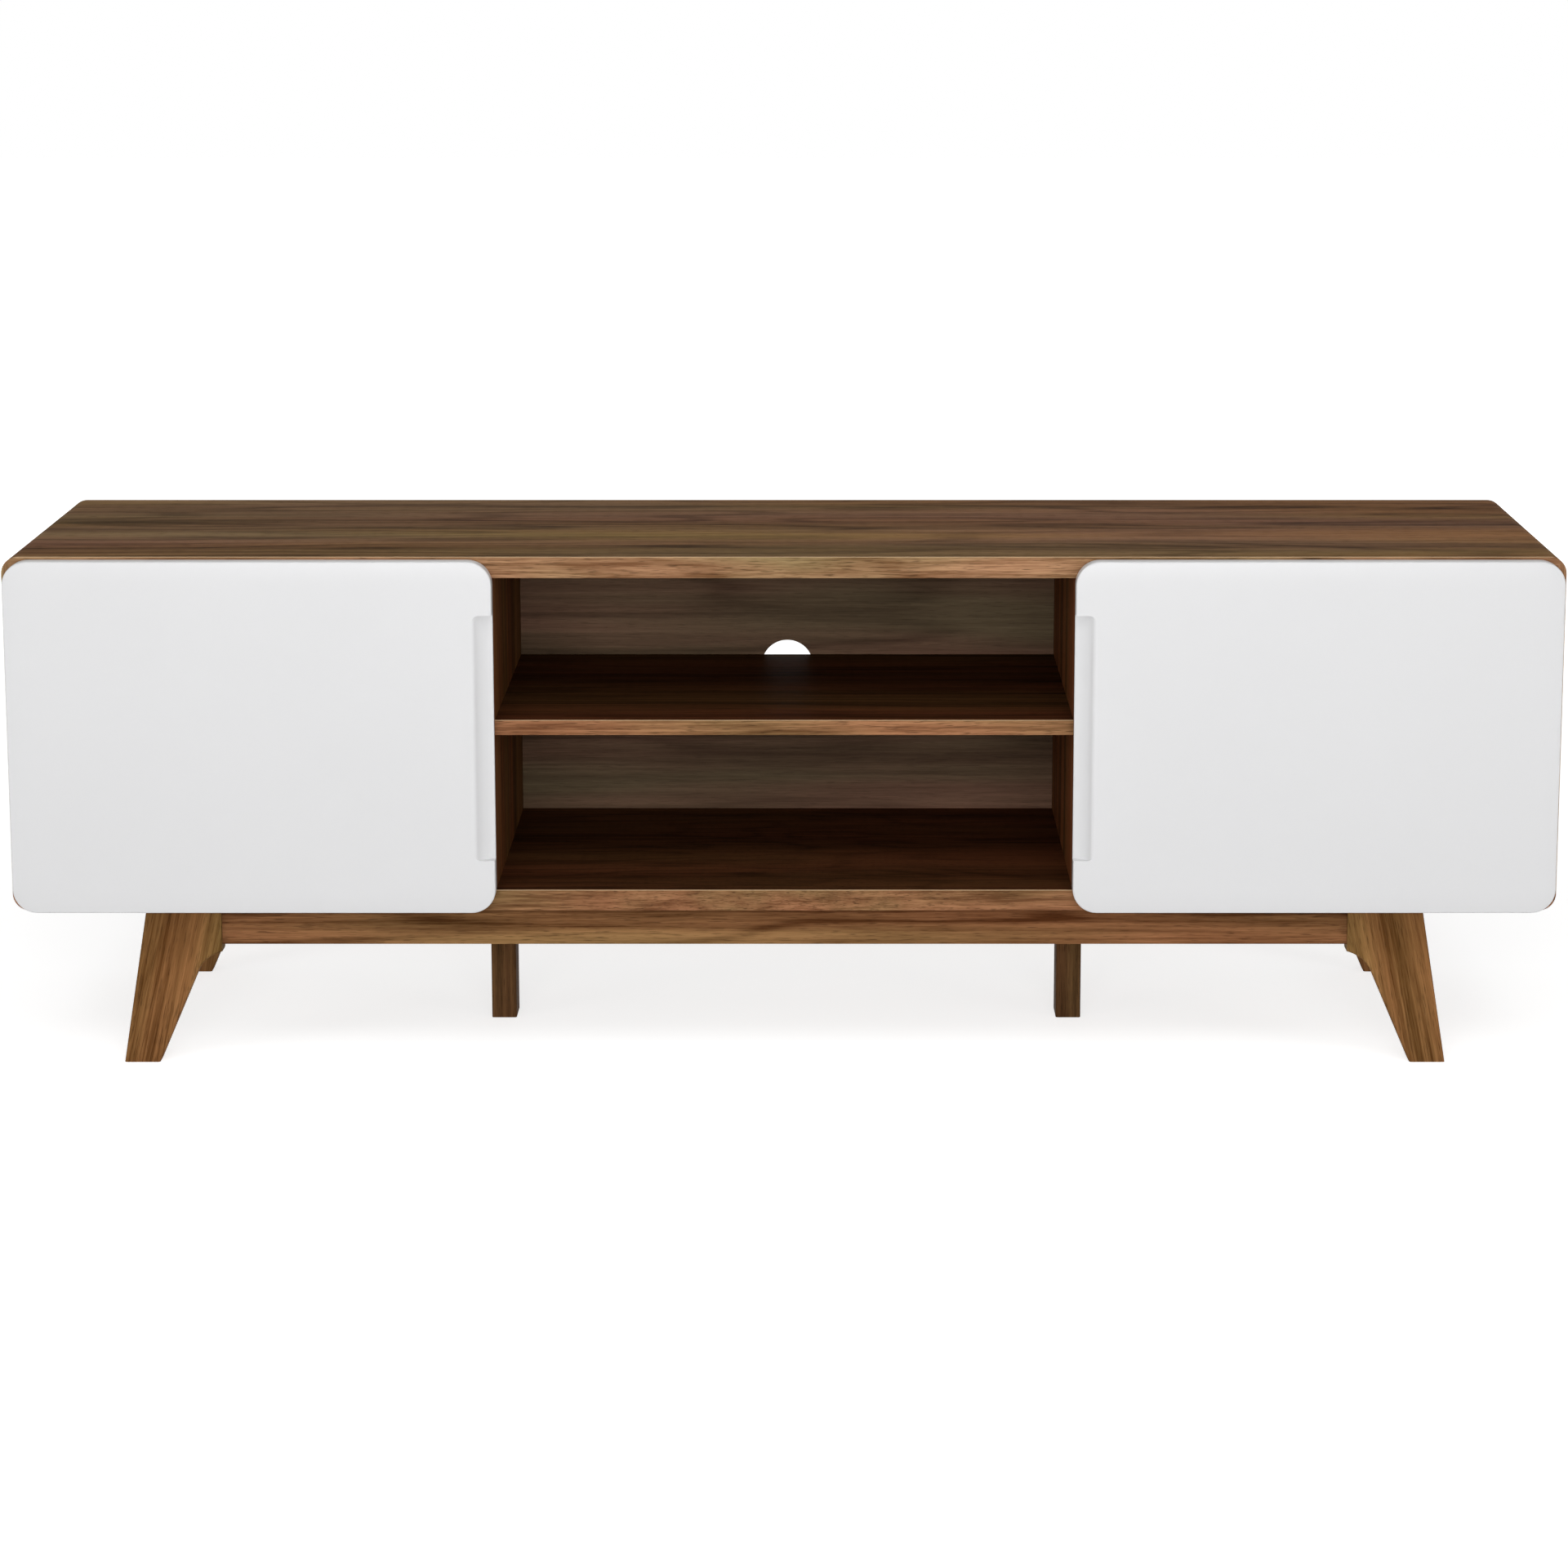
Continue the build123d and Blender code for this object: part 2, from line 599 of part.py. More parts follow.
# ---------------------------------------------------------------- the base
def corner_leg(ys):
    """Splayed leg: straight outer edge, inner edge that bends into the head, soft long edges."""
    head_bottom = base_height - leg_head_height
    bend_x = -leg_foot_inner + leg_lean_inner * head_bottom
    past_joint = bend_x + leg_bend_radius
    profile = make_face(
        Polyline(
            (-leg_head_outer, base_height),
            (-leg_foot_outer, 0),
            (-leg_foot_inner, 0),
            (bend_x, head_bottom),
            (past_joint, head_bottom),
            (past_joint, base_height),
            close=True,
        )
    )
    bend = profile.vertices().sort_by_distance((bend_x, head_bottom))[0]
    profile = fillet(bend, leg_bend_radius)
    body = extrude(Plane.XZ * profile, ys[1] - ys[0], dir=(0, 1, 0)).moved(Pos(0, ys[0], 0))
    past_ys = (ys[0] - hair, ys[1] + hair)
    body -= span((-leg_head_inner, past_joint + hair), past_ys, (-hair, base_height + hair))
    side_edges = [edge for face in body.faces().filter_by(Axis.Y) for edge in face.edges()]
    below_top = [edge for edge in side_edges if hair < edge.center().Z < base_height - hair]
    long_edges = [edge for edge in below_top if edge.center().X < -leg_head_inner - hair]
    body = fillet(long_edges, leg_edge_radius)
    holes = frame_dowels(dowel_radius + fit, fit)
    return cut(body, holes)


def frame_dowels(radius=dowel_radius, end_play=0.0):
    """Dowels of the base's left half: apron to leg, end rail to leg, cross rail to apron."""
    in_rail, in_leg = frame_dowel_in_rail + end_play, frame_dowel_in_leg + end_play
    apron_ys = (rail_front - apron_thickness / 2, rail_rear + apron_thickness / 2)
    dowels = []
    for z in frame_dowel_zs:
        for y in apron_ys:
            dowels.append(rod(radius, (-leg_head_inner - in_rail, y, z), (-leg_head_inner + in_rail, y, z)))
        for x in (-end_rail_middle, -divider_middle):
            for y, inward in ((rail_front, 1), (rail_rear, -1)):
                dowels.append(rod(radius, (x, y - inward * in_leg, z), (x, y + inward * in_rail, z)))
    return dowels


def apron(ys):
    body = span((-leg_head_inner, leg_head_inner), ys, (apron_bottom, base_height))
    left = frame_dowels(dowel_radius + fit, fit)
    body = cut(body, left + [other_side(tool) for tool in left])
    return cut(body, base_screws(base_screw_radius + fit, fit) + base_bores())


def rail(xs):
    """End rail or cross rail, between the front and rear of the base."""
    body = span(xs, (rail_front, rail_rear), (apron_bottom, base_height))
    body = cut(body, frame_dowels(dowel_radius + fit, fit) + hanger_bolts(hanger_radius + fit, fit))
    return cut(body, base_screws(base_screw_radius + fit, fit) + base_bores())


def base_screw_places():
    apron_ys = (rail_front - apron_thickness / 2, rail_rear + apron_thickness / 2)
    on_aprons = [(sign * x, y) for x in apron_screw_xs for sign in (-1, 1) for y in apron_ys]
    rail_xs = (-end_rail_middle, -divider_middle, divider_middle, end_rail_middle)
    on_rails = [(x, y) for x in rail_xs for y in rail_screw_ys]
    return on_aprons + on_rails


def base_screws(radius=base_screw_radius, end_play=0.0, with_heads=False):
    """Screws that hold the base under the bottom board, driven up from bores in the rails."""
    seat_z = apron_bottom + base_bore_depth
    length = base_height + base_screw_grip - seat_z + end_play
    if not with_heads:
        return [rod(radius, (x, y, seat_z), (x, y, seat_z + length)) for x, y in base_screw_places()]
    return [
        with_head(radius, length, base_head_radius, base_head_height, (x, y, seat_z), (0, 0, 1))
        for x, y in base_screw_places()
    ]


def base_bores():
    bottom, top = apron_bottom - hair, apron_bottom + base_bore_depth
    return [rod(base_bore_radius, (x, y, bottom), (x, y, top)) for x, y in base_screw_places()]


def centre_leg():
    ys = (leg_middle_y - centre_leg_depth / 2, leg_middle_y + centre_leg_depth / 2)
    body = span(centre_leg_xs, ys, (0, apron_bottom))
    body = fillet(body.edges().filter_by(Axis.Z), leg_edge_radius)
    return cut(body, hanger_bolts(hanger_radius + fit, fit))


def hanger_bolts(radius=hanger_radius, end_play=0.0):
    """Bolt that holds the left centre leg under its cross rail."""
    bottom, top = apron_bottom - hanger_in_leg - end_play, apron_bottom + hanger_in_rail + end_play
    return [rod(radius, (-divider_middle, leg_middle_y, bottom), (-divider_middle, leg_middle_y, top))]


# ---------------------------------------------------------------- writing every node
os.makedirs("parts", exist_ok=True)

write("top_panel", top_panel())
write("bottom_panel", bottom_panel())
write_pair("side_panel", [side_panel()])
write_pair("divider", [divider()])
write("centre_shelf", centre_shelf())
write_pair("inner_shelf", [inner_shelf_board()])
write_pair("inner_shelf_pins", shelf_pins())
write_pair("back_panel", [end_back_panel()])
write("centre_back_panel", centre_back_panel())


def both_sides(left_solids):
    return left_solids + [other_side(solid) for solid in left_solids]


write("back_panel_screws", *both_sides(back_screws()))
write("cam_locks", *both_sides(cams(-side_inner, -1) + cams(-divider_outer, 1)))
write("cam_bolts", *[bolt for x in upright_xs for bolt in cam_bolts(x)])
write("upright_dowels", *[dowel for x in upright_xs for dowel in upright_dowels(x)])
write("shelf_dowels", *both_sides(shelf_dowels()))

write_pair("door", [door()])
write_pair("hinge_cups", [hinge_cup(z) for z in hinge_zs])
write_pair("hinge_pins", [hinge_pin(z) for z in hinge_zs])
write_pair("hinge_cup_screws", [screw for z in hinge_zs for screw in cup_screws(z)])
write_pair("hinge_arms", [hinge_arm(z) for z in hinge_zs])
write_pair("hinge_plates", [hinge_plate(z) for z in hinge_zs])
write_pair("hinge_plate_screws", [screw for z in hinge_zs for screw in plate_screws(z)])
write("door_bumpers", *both_sides(door_bumpers()))

front_leg_ys = (case_front + leg_setback, rail_front)
rear_leg_ys = (rail_rear, case_rear - leg_setback)
write_pair("front_leg", [corner_leg(front_leg_ys)])
write_pair("rear_leg", [corner_leg(rear_leg_ys)])
write("front_apron", apron((rail_front - apron_thickness, rail_front)))
write("rear_apron", apron((rail_rear, rail_rear + apron_thickness)))
write_pair("end_rail", [rail((-end_rail_outer, -end_rail_outer + end_rail_thickness))])
write_pair("cross_rail", [rail(centre_leg_xs)])
write_pair("centre_leg", [centre_leg()])
write("base_dowels", *both_sides(frame_dowels()))
write("base_screws", *base_screws(with_heads=True))
write("centre_leg_bolts", *both_sides(hanger_bolts()))
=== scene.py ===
"""Finishes and small fittings of the media cabinet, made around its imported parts. Metres."""

from functools import cached_property
from math import cos, pi, radians, sin

import bmesh
import bpy
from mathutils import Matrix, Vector


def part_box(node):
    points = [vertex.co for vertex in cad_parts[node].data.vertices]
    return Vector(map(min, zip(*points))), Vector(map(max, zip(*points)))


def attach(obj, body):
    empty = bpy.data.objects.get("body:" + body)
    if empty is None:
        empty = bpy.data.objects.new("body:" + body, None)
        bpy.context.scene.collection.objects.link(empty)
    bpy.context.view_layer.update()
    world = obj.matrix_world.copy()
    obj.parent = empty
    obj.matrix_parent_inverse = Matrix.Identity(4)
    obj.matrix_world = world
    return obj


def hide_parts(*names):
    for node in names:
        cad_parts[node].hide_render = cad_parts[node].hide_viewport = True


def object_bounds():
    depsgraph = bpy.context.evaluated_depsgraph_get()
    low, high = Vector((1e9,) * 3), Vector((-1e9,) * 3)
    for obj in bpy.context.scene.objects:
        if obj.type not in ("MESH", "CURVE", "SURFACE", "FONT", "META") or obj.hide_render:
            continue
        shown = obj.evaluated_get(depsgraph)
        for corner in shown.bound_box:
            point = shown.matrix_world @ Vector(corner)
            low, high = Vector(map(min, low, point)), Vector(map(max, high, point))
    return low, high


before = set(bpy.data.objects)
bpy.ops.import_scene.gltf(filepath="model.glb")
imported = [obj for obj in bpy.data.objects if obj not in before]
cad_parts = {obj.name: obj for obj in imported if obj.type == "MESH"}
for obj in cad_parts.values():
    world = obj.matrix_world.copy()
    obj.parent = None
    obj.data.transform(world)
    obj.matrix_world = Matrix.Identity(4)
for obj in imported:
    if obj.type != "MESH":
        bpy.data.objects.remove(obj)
cad_low, cad_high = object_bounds()

MILLIMETRE = 0.001
X, Y, Z = (1, 0, 0), (0, 1, 0), (0, 0, 1)


# ---------------------------------------------------------------- shader building
class Wire:
    """A value on its way through a material. Arithmetic on it adds Math nodes."""

    def __init__(self, graph, socket):
        self.graph, self.socket = graph, socket

    def math(self, operation, *values):
        return self.graph.node("Math", {"operation": operation}, dict(enumerate(values)))

    def __add__(self, other):
        return self.math("ADD", self, other)

    def __sub__(self, other):
        return self.math("SUBTRACT", self, other)

    def __rsub__(self, other):
        return self.math("SUBTRACT", other, self)

    def __mul__(self, other):
        return self.math("MULTIPLY", self, other)

    def __pow__(self, other):
        return self.math("POWER", self, other)

    def __lt__(self, other):
        return self.math("LESS_THAN", self, other)

    def __gt__(self, other):
        return self.math("GREATER_THAN", self, other)

    __radd__, __rmul__ = __add__, __mul__

    def sine(self):
        return self.math("SINE", self)

    def root(self):
        return self.math("SQRT", self)

    def magnitude(self):
        return self.math("ABSOLUTE", self)

    def at_least(self, other):
        return self.math("MAXIMUM", self, other)

    def at_most(self, other):
        return self.math("MINIMUM", self, other)

    def fit(self, low, high, new_low=0.0, new_high=1.0):
        """The value carried smoothly from one range to another, and held at its ends."""
        values = {"Value": self, "From Min": low, "From Max": high, "To Min": new_low, "To Max": new_high}
        return self.graph.node("MapRange", {"interpolation_type": "SMOOTHSTEP"}, values)


class Graph:
    """The nodes of one material, or of the world."""

    def __init__(self, owner):
        owner.use_nodes = True
        self.owner, self.tree = owner, owner.node_tree
        self.tree.nodes.clear()

    @cached_property
    def place(self):
        """Where a point lies on the cabinet at rest."""
        return self.node("TexCoord", out="Object")

    def node(self, kind, settings=None, sockets=None, out=0):
        made = self.tree.nodes.new("ShaderNode" + kind)
        for name, value in (settings or {}).items():
            setattr(made, name, value)
        for key, value in (sockets or {}).items():
            if isinstance(value, Wire):
                self.tree.links.new(value.socket, made.inputs[key])
            else:
                made.inputs[key].default_value = value
        return Wire(self, made.outputs[out])

    def axis(self, direction):
        """How far a point lies along a direction."""
        return self.node("VectorMath", {"operation": "DOT_PRODUCT"}, {0: self.place, 1: direction}, "Value")

    def vector(self, x, y, z):
        return self.node("CombineXYZ", None, {"X": x, "Y": y, "Z": z})

    def noise(self, vector, scale=1.0, detail=2.0, roughness=0.5):
        sockets = {"Vector": vector, "Scale": scale, "Detail": detail, "Roughness": roughness}
        return self.node("TexNoise", None, sockets)

    def brushed(self, *rates):
        """Noise with its own number of cycles a metre along each axis."""
        return self.noise(self.node("VectorMath", {"operation": "MULTIPLY"}, {0: self.place, 1: rates}))

    def mix(self, factor, first, second, blend="MIX"):
        """Colour between two colours, or one laid over the other."""
        settings = {"data_type": "RGBA", "blend_type": blend}
        return self.node("Mix", settings, {0: factor, 6: first, 7: second}, 2)

    def bump(self, height, depth, strength=1.0):
        return self.node("Bump", None, {"Height": height, "Distance": depth, "Strength": strength})

    def surface(self, shader, kind="Material"):
        output = self.tree.nodes.new("ShaderNodeOutput" + kind)
        self.tree.links.new(shader.socket, output.inputs["Surface"])
        return self.owner

    def principled(self, **sockets):
        named = {key.replace("_", " "): value for key, value in sockets.items()}
        return self.surface(self.node("BsdfPrincipled", None, named))


def material(name):
    return Graph(bpy.data.materials.new(name))


def tone(red, green, blue):
    """Linear colour of an sRGB one given in 0-255."""
    return tuple(((c / 255 + 0.055) / 1.055) ** 2.4 for c in (red, green, blue)) + (1.0,)


# ---------------------------------------------------------------- woods
# Directions along, across and through the grain
ALONG_X = X, Y, Z
ALONG_Y = Y, X, Z
UPRIGHT = Z, Y, X
UPRIGHT_ACROSS = Z, X, Y
EDGE_ALONG_X = X, Z, Y
LEG_GRAIN_LEAN = radians(12.0)  # grain of the splayed legs, from upright

VENEER_CUT = 16.0  # how far along the log the case's veneer was cut
EDGE_CUT = 0.37  # and how far on from a board its edge strip was
TURN_SPAN = 0.3  # half the width over which the way down changes from the left side to the right one
LIPPING = 0.9 * MILLIMETRE  # depth of the edge strip on the boards' front and rear edges
ARRIS_HIGHLIGHT_BAND = 0.3 * MILLIMETRE, 1.3 * MILLIMETRE  # where the painted highlight along an arris fades out
CASE_OUTLINE = "case outline"
CASE_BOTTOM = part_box("bottom_panel")[0][2]
CASE_MIDDLE = (cad_low.z + cad_high.z) / 2
CASE_SHADOW_HEIGHTS = 0.10, 0.15  # heights between which a painted shadow under the case darkens the legs

# Tints of the streaks and of the broad fields of a sheet of veneer
RUDDY = (1.16, 0.96, 0.92, 1.0)
OLIVE = (0.90, 1.03, 0.86, 1.0)
ASHEN = (0.96, 1.00, 1.30, 1.0)
GOLDEN = (1.01, 1.03, 0.96, 1.0)

# Darkest and palest wood of each kind of part
SHELL = (46, 31, 18), (170, 133, 94)
# painted shade: darker copies of the case's walnut for the faces and shelves inside the case
SHADED_INSIDE = (48, 28, 16), (93, 58, 36)
SHADED_INSIDE_UPRIGHT = (60, 34, 18), (120, 76, 46)
STRIP = (116, 86, 60), (190, 158, 122)
LOW_STRIP = (106, 74, 50), (174, 134, 98)
BASE_WOOD = (76, 47, 25), (158, 118, 82)
POST_WOOD = (62, 43, 27), (124, 91, 62)
LEG_WOOD = (84, 55, 26), (168, 129, 84)
BACK_FACE = (86, 68, 56), (132, 108, 90)
HARDBOARD = (104, 74, 46), (158, 122, 84)
PAINTED_ARRIS_HIGHLIGHT = (204, 174, 138)  # painted highlight along an arris


def leaning(side):
    """Grain of a splayed leg; side is -1 at the left and 1 at the right."""
    run, rise = sin(LEG_GRAIN_LEAN), cos(LEG_GRAIN_LEAN)
    return (-side * run, 0, rise), (rise, 0, side * run), Y


def laid(graph, grain):
    """Coordinates along, across and through wood, whose grain is three directions or a function."""
    return grain(graph) if callable(grain) else tuple(graph.axis(direction) for direction in grain)


def round_case(graph):
    """Distance along the top, and from there on down the side that a point is nearer to."""
    x, z = graph.axis(X), graph.axis(Z)
    return x + x.fit(-TURN_SPAN, TURN_SPAN, -1.0, 1.0) * (cad_high.z - z)


def inset(graph):
    """Distance in from the outline of the case, seen from the front."""
    from_side = cad_high.x - graph.axis(X).magnitude()
    z = graph.axis(Z)
    return from_side.at_most(cad_high.z - z).at_most(z - CASE_BOTTOM)


def wrapped(graph):
    """Grain of veneer laid over the top and on down both sides."""
    return round_case(graph), graph.axis(Y), 0.0


def outlined(graph):
    """Grain of the edge strip that follows the outline of the case."""
    return round_case(graph), CASE_MIDDLE, inset(graph)


def facing_in(graph):
    """1 on the faces inside the case, where the walnut is painted darker as shade; 0 on its outside."""
    x, z = graph.axis(X), graph.axis(Z)
    margin = 0.5 * MILLIMETRE
    wall = -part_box("left_side_panel")[1][0] + margin
    ceiling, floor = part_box("top_panel")[0][2] + margin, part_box("bottom_panel")[1][2] - margin
    return (x.magnitude() < wall) * (z < ceiling) * (z > floor)


class Walnut:
    """Figure of a piece of sawn walnut, each part of it from 0 to 1."""

    def __init__(self, graph, grain, cut, contours=7.0, wander=0.012, patches=0.45, breadth=1.0):
        """cut is how far along the log it was cut; breadth widens its bands and fields of colour."""
        self.graph, self.cut = graph, cut
        self.contours, self.patches, self.breadth = contours, patches, breadth
        along, across, through = laid(graph, grain)
        along = along + cut
        self.place = along, across, through
        drift = self.noise(0.8, 4.0, cut, detail=1.0) - 0.5
        self.place = along, across + drift * (2.0 * wander), through  # the grain wanders a little

    def noise(self, along_rate, across_rate, start=0.0, **looks):
        """Noise with its cycles a metre along and across the grain, sliced at a start of its own."""
        along, across, through = self.place
        slices = through * across_rate + start
        return self.graph.noise(self.graph.vector(along * along_rate, across * across_rate, slices), **looks)

    @cached_property
    def bands(self):
        return self.noise(0.30, 24.0 / self.breadth, self.cut, roughness=0.55).fit(0.25, 0.75)

    @cached_property
    def streaks(self):
        return self.noise(3.0, 170.0, detail=3.0, roughness=0.65)

    @cached_property
    def fibres(self):
        return self.noise(20.0, 600.0, detail=3.0, roughness=0.65)

    @cached_property
    def pores(self):
        return self.noise(48.0, 1000.0, detail=1.5).fit(0.56, 0.70)

    @cached_property
    def rings(self):
        """Contour lines of a slow noise, as a saw lays growth rings open."""
        crown = self.noise(1.3, 13.0, self.cut, detail=1.5)
        return ((crown * (self.contours * 2 * pi)).sine() * 0.5 + 0.5) ** 3.0

    @cached_property
    def hue(self):
        return self.noise(self.patches, 16.0 / self.breadth, self.cut + 4.0).fit(0.30, 0.70)

    @cached_property
    def cast(self):
        return self.noise(0.8, 16.0 / self.breadth, self.cut + 9.0).fit(0.34, 0.66)

    def stained(self, shades, bands=0.5, streaks=1.5, fibres=0.8, rings=0.25, pores=0.5, hue=1.0, cast=0.0):
        """Colour of the wood; the numbers say how strongly each part of its figure shows."""
        dark, light = shades
        level = (self.bands - 0.5) * bands + (self.streaks - 0.5) * streaks
        level = level + (self.fibres - 0.5) * fibres - (self.rings - 0.3) * rings + 0.5
        mix = self.graph.mix
        colour = mix(level.at_least(0.0), tone(*dark), tone(*light))
        colour = mix(hue, colour, mix(self.hue, OLIVE, RUDDY), "MULTIPLY")
        if cast:
            colour = mix(cast, colour, mix(self.cast, GOLDEN, ASHEN), "MULTIPLY")
        return mix(self.pores * pores, colour, tone(*(0.5 * part for part in dark)))

    def varnished(self, colour, roughness=0.55, relief=0.05, gloss=0.008):
        """Satin varnish over the wood, thin enough to show its pores; relief is in millimetres."""
        height = self.fibres * 0.5 + self.rings * 0.1 - self.pores
        rough = roughness + (self.fibres - 0.5) * 0.16 + self.pores * 0.1
        bump = self.graph.bump(height, relief * MILLIMETRE, 0.6)
        sockets = {"Base_Color": colour, "Roughness": rough, "Normal": bump, "Specular_IOR_Level": gloss}
        return self.graph.principled(**sockets)


def edging(graph, grain, cut, shades, arris):
    """Colour of the strip glued on a board's edge, with a painted highlight along its arris."""
    strip = Walnut(graph, grain, cut, patches=3.0)
    colour = strip.stained(shades, bands=0.4, streaks=1.8, fibres=1.5, pores=0.6)
    if arris is None:
        return colour
    from_arris = inset(graph) if arris == CASE_OUTLINE else arris - graph.axis(Z)
    # painted highlight: pale colour laid along the arris
    return graph.mix(from_arris.fit(*ARRIS_HIGHLIGHT_BAND, 0.75, 0.0), colour, tone(*PAINTED_ARRIS_HIGHLIGHT))


def edged_board(name, grain, cut, shades, ends, strip, inner=None, gloss=0.008, breadth=1.0, **strengths):
    """Walnut board with a paler strip glued on its edges.

    ends are the y of its front edge and, where that has a strip too, of its rear edge. strip holds the
    strip's grain, its cut, its shades and the height of its arris with a painted highlight, which is
    CASE_OUTLINE for the outer corners of the case and None without one. inner gives the painted shade
    on the faces inside the case.
    """
    graph = material(name)
    wood = Walnut(graph, grain, cut, breadth=breadth)
    face = wood.stained(shades, **strengths)
    if inner:
        # painted shade on the faces inside the case
        face = graph.mix(facing_in(graph), face, wood.stained(inner, bands=0.9))
    y = graph.axis(Y)
    on_edge = y < ends[0] + LIPPING
    if len(ends) > 1:
        on_edge = on_edge.at_least(y > ends[1] - LIPPING)
    return wood.varnished(graph.mix(on_edge, face, edging(graph, *strip)), gloss=gloss)


def base_walnut(name, grain, cut, shades=BASE_WOOD, shaded_under_case=False, patches=0.45, **strengths):
    """Solid walnut of the base; on the legs a painted shadow darkens it towards the case."""
    graph = material(name)
    wood = Walnut(graph, grain, cut, wander=0.008, patches=patches)
    colour = wood.stained(shades, **strengths)
    if shaded_under_case:
        # painted shade: up to 0.3 of the darkest shade mixed in near the case, for the shadow under it
        colour = graph.mix(graph.axis(Z).fit(*CASE_SHADOW_HEIGHTS, 0.0, 0.3), colour, tone(*shades[0]))
    return wood.varnished(colour, roughness=0.48, relief=0.07)


def back_board():
    """Thin panel: walnut-faced towards the front, bare hardboard behind."""
    graph = material("back_panel_board")
    wood = Walnut(graph, ALONG_X, 2.6, contours=5.0, patches=1.6)
    face = wood.stained(BACK_FACE, streaks=1.2, rings=0.4, pores=0.25, hue=0.9)
    speckle = graph.noise(graph.place, scale=900.0, detail=3.0)
    blotch = graph.noise(graph.place, scale=14.0, detail=3.0)
    bare = graph.mix((speckle + blotch) * 0.5, *(tone(*shade) for shade in HARDBOARD))
    low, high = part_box("centre_back_panel")
    behind = graph.axis(Y) > (low[1] + high[1]) / 2
    return wood.varnished(graph.mix(behind, face, bare), roughness=0.6)


# ---------------------------------------------------------------- lacquer, metals and plastics
def white_lacquer():
    """Sprayed satin lacquer, with a trace of orange peel."""
    graph = material("white_lacquer")
    peel = graph.noise(graph.place, scale=420.0)
    cloud = graph.noise(graph.place, scale=5.0)
    colour = graph.mix(cloud, tone(224, 224, 225), tone(227, 227, 228))
    rough = 0.30 + (peel - 0.5) * 0.05
    normal = graph.bump(peel, 0.012 * MILLIMETRE, 0.5)
    return graph.principled(Base_Color=colour, Roughness=rough, Normal=normal, Specular_IOR_Level=0.5)


def plated_steel(name, colour, roughness):
    """Pressed and plated steel, faintly brushed."""
    graph = material(name)
    brushed = graph.brushed(260.0, 30.0, 260.0)
    cloud = graph.noise(graph.place, scale=60.0, detail=3.0)
    tint = graph.mix(cloud, colour, tuple(c * 0.82 for c in colour[:3]) + (1.0,))
    rough = roughness + (brushed - 0.5) * 0.12
    normal = graph.bump(brushed, 0.004 * MILLIMETRE, 0.15)
    return graph.principled(Base_Color=tint, Roughness=rough, Metallic=1.0, Normal=normal)


def bare_beech():
    """Dowels, with short dark flecks."""
    graph = material("bare_beech")
    flecks = graph.brushed(40.0, 300.0, 300.0)
    colour = graph.mix(flecks, tone(196, 160, 116), tone(222, 190, 148))
    return graph.principled(Base_Color=colour, Roughness=0.6, Normal=graph.bump(flecks, 0.03 * MILLIMETRE))


def soft_pad():
    """Clear elastic pad."""
    graph = material("soft_pad")
    haze = graph.noise(graph.place, scale=700.0)
    colour = graph.mix(haze, tone(206, 206, 204), tone(224, 224, 222))
    return graph.principled(Base_Color=colour, Roughness=0.35 + haze * 0.1, Transmission_Weight=0.3, IOR=1.45)


# ---------------------------------------------------------------- finishing the CAD parts
def finish_part(finish, *nodes):
    for node in nodes:
        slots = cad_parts[node].data.materials
        slots.clear()
        slots.append(finish)


def both(kind):
    return f"left_{kind}", f"right_{kind}"


def dress_case():
    ends = tuple(corner[1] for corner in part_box("top_panel"))
    floor_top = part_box("bottom_panel")[1][2]
    veneer = {"bands": 0.62, "streaks": 0.85, "cast": 1.0, "breadth": 2.2}
    strip = outlined, EDGE_CUT, STRIP, CASE_OUTLINE
    shell = edged_board(
        "walnut_shell", wrapped, VENEER_CUT, SHELL, ends, strip, SHADED_INSIDE_UPRIGHT, gloss=0.003, **veneer
    )
    finish_part(shell, "top_panel", *both("side_panel"))
    strip = outlined, EDGE_CUT + floor_top, LOW_STRIP, floor_top
    floor = edged_board(
        "walnut_bottom", wrapped, VENEER_CUT, SHELL, ends, strip, SHADED_INSIDE, gloss=0.01, **veneer
    )
    finish_part(floor, "bottom_panel")
    strip = UPRIGHT, 0.4 + EDGE_CUT, STRIP, None
    # painted shade: the dividers are wholly in the darker walnut of the inside
    divider = edged_board(
        "walnut_divider", UPRIGHT, 0.4, SHADED_INSIDE_UPRIGHT, ends[:1], strip, gloss=0.02, bands=0.9
    )
    finish_part(divider, *both("divider"))
    # painted shade: the shelves are wholly in the darker walnut of the inside
    for kind, cut, nodes in (("centre", 0.7, ("centre_shelf",)), ("loose", 1.9, both("inner_shelf"))):
        low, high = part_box(nodes[0])
        strip = EDGE_ALONG_X, cut + EDGE_CUT + high[2], LOW_STRIP, high[2]
        shelf = edged_board(f"walnut_{kind}_shelf", ALONG_X, cut, SHADED_INSIDE, low[1:2], strip, gloss=0.004)
        finish_part(shelf, *nodes)
    finish_part(back_board(), "centre_back_panel", *both("back_panel"))


def dress_base():
    finish_part(base_walnut("walnut_front_apron", ALONG_X, 0.2, rings=0.35, patches=1.2), "front_apron")
    finish_part(base_walnut("walnut_rear_apron", ALONG_X, 2.2, rings=0.45), "rear_apron")
    finish_part(base_walnut("walnut_rail", ALONG_Y, 0.6), *both("end_rail"), *both("cross_rail"))
    post = base_walnut("walnut_post", UPRIGHT_ACROSS, 0.9, POST_WOOD, bands=1.0)
    finish_part(post, *both("centre_leg"))
    for kind, side in (("left", -1), ("right", 1)):
        cut = 0.5 + side * 0.23
        # the legs carry a painted shadow under the case at their heads
        leg = base_walnut(f"walnut_{kind}_leg", leaning(side), cut, LEG_WOOD, shaded_under_case=True, rings=0.15)
        finish_part(leg, f"{kind}_front_leg", f"{kind}_rear_leg")


